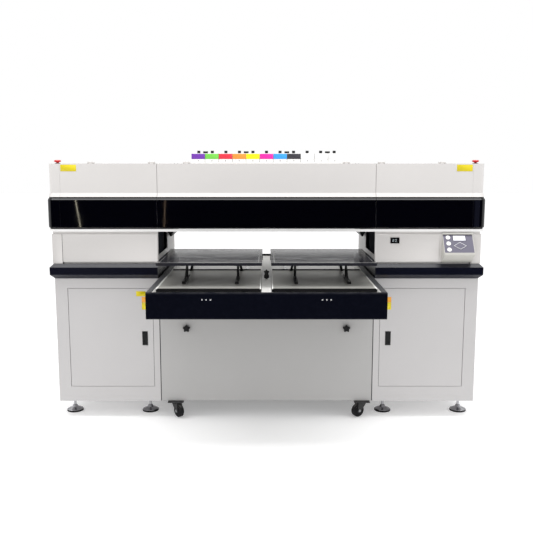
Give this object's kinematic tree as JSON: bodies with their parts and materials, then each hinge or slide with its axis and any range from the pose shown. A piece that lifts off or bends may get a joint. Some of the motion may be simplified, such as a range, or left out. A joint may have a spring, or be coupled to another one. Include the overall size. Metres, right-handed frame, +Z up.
{
  "type": "flatbed uv printer",
  "caption": "Floor-standing flatbed printer with twin sliding platens, a bridge housing over an open bay, side cabinets, ink tanks on top and levelling feet.",
  "frame": {"origin": "on the floor, under the middle of the machine's outline", "axes": "+Z up, +X to the operator's right along the bridge, -Y towards the operator"},
  "size_m": [2.544, 1.6, 1.597],
  "materials": {
    "frame_steel": "satin powder coat",
    "light_panel": "fine textured powder coat",
    "cabinet_panel": "fine textured powder coat",
    "centre_grey": "fine textured powder coat",
    "counter_navy": "satin paint over a light chamfer",
    "band_black": "high gloss",
    "bed_black": "fine textured satin",
    "deck_light": "satin",
    "rail_steel": "ground",
    "gantry_grey": "satin",
    "foot_chrome": "polished",
    "plate_zinc": "zinc plated",
    "rack_white": "satin",
    "tank_white": "translucent moulded",
    "cap_black": "moulded",
    "console_light": "fine moulded texture",
    "console_grey": "printed overlay",
    "display_dark": "screen window",
    "station_grey": "satin",
    "inlet_black": "moulded",
    "platen_black": "gloss black plate",
    "stand_black": "satin",
    "tray_metal": "brushed sheet with black edges",
    "carriage_dark": "satin",
    "head_steel": "machined",
    "handle_black": "moulded",
    "knob_black": "moulded",
    "stop_red": "moulded",
    "key_white": "moulded",
    "pad_grey": "moulded with a light rim",
    "fork_black": "satin",
    "wheel_black": "moulded tread",
    "label_yellow": "blank printed plate",
    "foot_rubber": "moulded"
  },
  "bodies": {
    "root": {"base_frame": "frame_steel", "left_cabinet": "cabinet_panel", "right_cabinet": "cabinet_panel", "centre_panels": "centre_grey", "counter_trims": "counter_navy", "mid_housings": "light_panel", "gantry": "gantry_grey", "upper_pan": "light_panel", "top_cover": "light_panel", "end_covers": "light_panel", "band_ends": "band_black", "bed_frame": "frame_steel", "bed_covers": "bed_black", "deck": "deck_light", "y_rails": "rail_steel", "levelling_feet": "foot_chrome", "caster_plates": "fork_black", "ink_rack": "rack_white", "ink_tanks": "tank_white", "tank_caps": "cap_black", "console_body": "console_light", "console_plate": "console_grey", "displays": "display_dark", "capping_station": "station_grey", "power_inlet": "inlet_black"},
    "left_table": {"left_platen": "platen_black", "left_stand": "stand_black", "left_tray": "tray_metal"},
    "right_table": {"right_platen": "platen_black", "right_stand": "stand_black", "right_tray": "tray_metal"},
    "carriage": {"print_carriage": "carriage_dark", "print_heads": "head_steel"},
    "left_hood_leaf": {"left_hood": "light_panel", "left_window": "band_black"},
    "centre_hood_leaf": {"centre_hood": "light_panel", "centre_window": "band_black"},
    "right_hood_leaf": {"right_hood": "light_panel", "right_window": "band_black"},
    "left_door_leaf": {"left_door": "cabinet_panel"},
    "right_door_leaf": {"right_door": "cabinet_panel"},
    "left_latch": {"left_paddle": "handle_black"},
    "right_latch": {"right_paddle": "handle_black"},
    "left_clamp_knob": {"left_panel_knob": "knob_black"},
    "right_clamp_knob": {"right_panel_knob": "knob_black"},
    "middle_knob": {"centre_knob": "knob_black"},
    "left_stop_button": {"left_estop": "stop_red"},
    "right_stop_button": {"right_estop": "stop_red"},
    "start_button": {"start_key": "key_white"},
    "stop_button": {"stop_key": "key_white"},
    "menu_button": {"menu_key": "key_white"},
    "direction_button": {"direction_pad": "pad_grey"},
    "front_left_swivel": {"front_left_fork": "fork_black"},
    "front_left_roller": {"front_left_wheel": "wheel_black"},
    "front_right_swivel": {"front_right_fork": "fork_black"},
    "front_right_roller": {"front_right_wheel": "wheel_black"},
    "rear_left_swivel": {"rear_left_fork": "fork_black"},
    "rear_left_roller": {"rear_left_wheel": "wheel_black"},
    "rear_right_swivel": {"rear_right_fork": "fork_black"},
    "rear_right_roller": {"rear_right_wheel": "wheel_black"}
  },
  "joints": [
    {"name": "left_table_slide", "type": "slide", "parent": "root", "child": "left_table", "axis": [0, 1, 0], "range_m": [0, 0.7]},
    {"name": "right_table_slide", "type": "slide", "parent": "root", "child": "right_table", "axis": [0, 1, 0], "range_m": [0, 0.7]},
    {"name": "carriage_slide", "type": "slide", "parent": "root", "child": "carriage", "axis": [-1, 0, 0], "range_m": [0, 1.52]},
    {"name": "left_hood_hinge", "type": "hinge", "parent": "root", "child": "left_hood_leaf", "pos_m": [0, 0.11, 1.522], "axis": [-1, 0, 0], "range_deg": [0, 60]},
    {"name": "centre_hood_hinge", "type": "hinge", "parent": "root", "child": "centre_hood_leaf", "pos_m": [0, 0.11, 1.522], "axis": [-1, 0, 0], "range_deg": [0, 60]},
    {"name": "right_hood_hinge", "type": "hinge", "parent": "root", "child": "right_hood_leaf", "pos_m": [0, 0.11, 1.522], "axis": [-1, 0, 0], "range_deg": [0, 60]},
    {"name": "left_door_hinge", "type": "hinge", "parent": "root", "child": "left_door_leaf", "pos_m": [-1.164, -0.266, 0.5], "axis": [0, 0, -1], "range_deg": [0, 110]},
    {"name": "right_door_hinge", "type": "hinge", "parent": "root", "child": "right_door_leaf", "pos_m": [1.164, -0.266, 0.5], "axis": [0, 0, 1], "range_deg": [0, 110]},
    {"name": "left_latch_hinge", "type": "hinge", "parent": "left_door_leaf", "child": "left_latch", "pos_m": [-0.7215, -0.265, 0.524], "axis": [-1, 0, 0], "range_deg": [0, 28], "stiffness_Nm_per_rad": 0.05},
    {"name": "right_latch_hinge", "type": "hinge", "parent": "right_door_leaf", "child": "right_latch", "pos_m": [0.7215, -0.265, 0.524], "axis": [-1, 0, 0], "range_deg": [0, 28], "stiffness_Nm_per_rad": 0.05},
    {"name": "left_clamp_knob_turn", "type": "hinge", "parent": "root", "child": "left_clamp_knob", "pos_m": [-0.473, -0.27, 0.551], "axis": [0, -1, 0], "continuous": true},
    {"name": "right_clamp_knob_turn", "type": "hinge", "parent": "root", "child": "right_clamp_knob", "pos_m": [0.473, -0.27, 0.551], "axis": [0, -1, 0], "continuous": true},
    {"name": "middle_knob_turn", "type": "hinge", "parent": "root", "child": "middle_knob", "pos_m": [0, -0.304, 0.893], "axis": [0, -1, 0], "continuous": true},
    {"name": "left_stop_press", "type": "slide", "parent": "root", "child": "left_stop_button", "axis": [0, 0, -1], "range_m": [0, 0.005], "stiffness_N_per_m": 600},
    {"name": "right_stop_press", "type": "slide", "parent": "root", "child": "right_stop_button", "axis": [0, 0, -1], "range_m": [0, 0.005], "stiffness_N_per_m": 600},
    {"name": "start_press", "type": "slide", "parent": "root", "child": "start_button", "axis": [0, 0.8181, -0.5751], "range_m": [0, 0.0012], "stiffness_N_per_m": 500},
    {"name": "stop_press", "type": "slide", "parent": "root", "child": "stop_button", "axis": [0, 0.8181, -0.5751], "range_m": [0, 0.0012], "stiffness_N_per_m": 500},
    {"name": "menu_press", "type": "slide", "parent": "root", "child": "menu_button", "axis": [0, 0.8181, -0.5751], "range_m": [0, 0.0012], "stiffness_N_per_m": 500},
    {"name": "direction_press", "type": "slide", "parent": "root", "child": "direction_button", "axis": [0, 0.8181, -0.5751], "range_m": [0, 0.0012], "stiffness_N_per_m": 500},
    {"name": "front_left_swivel_turn", "type": "hinge", "parent": "root", "child": "front_left_swivel", "pos_m": [-0.545, -0.248, 0.09], "axis": [0, 0, 1], "continuous": true},
    {"name": "front_left_roll", "type": "hinge", "parent": "front_left_swivel", "child": "front_left_roller", "pos_m": [-0.52829, -0.26792, 0.042], "axis": [-0.766, -0.6428, 0], "continuous": true},
    {"name": "front_right_swivel_turn", "type": "hinge", "parent": "root", "child": "front_right_swivel", "pos_m": [0.573, -0.248, 0.09], "axis": [0, 0, 1], "continuous": true},
    {"name": "front_right_roll", "type": "hinge", "parent": "front_right_swivel", "child": "front_right_roller", "pos_m": [0.55048, -0.261, 0.042], "axis": [-0.5, 0.866, 0], "continuous": true},
    {"name": "rear_left_swivel_turn", "type": "hinge", "parent": "root", "child": "rear_left_swivel", "pos_m": [-0.545, 0.458, 0.09], "axis": [0, 0, 1], "continuous": true},
    {"name": "rear_left_roll", "type": "hinge", "parent": "rear_left_swivel", "child": "rear_left_roller", "pos_m": [-0.55389, 0.43357, 0.042], "axis": [-0.9397, 0.342, 0], "continuous": true},
    {"name": "rear_right_swivel_turn", "type": "hinge", "parent": "root", "child": "rear_right_swivel", "pos_m": [0.573, 0.458, 0.09], "axis": [0, 0, 1], "continuous": true},
    {"name": "rear_right_roll", "type": "hinge", "parent": "rear_right_swivel", "child": "rear_right_roller", "pos_m": [0.56, 0.48052, 0.042], "axis": [0.866, 0.5, 0], "continuous": true}
  ]
}
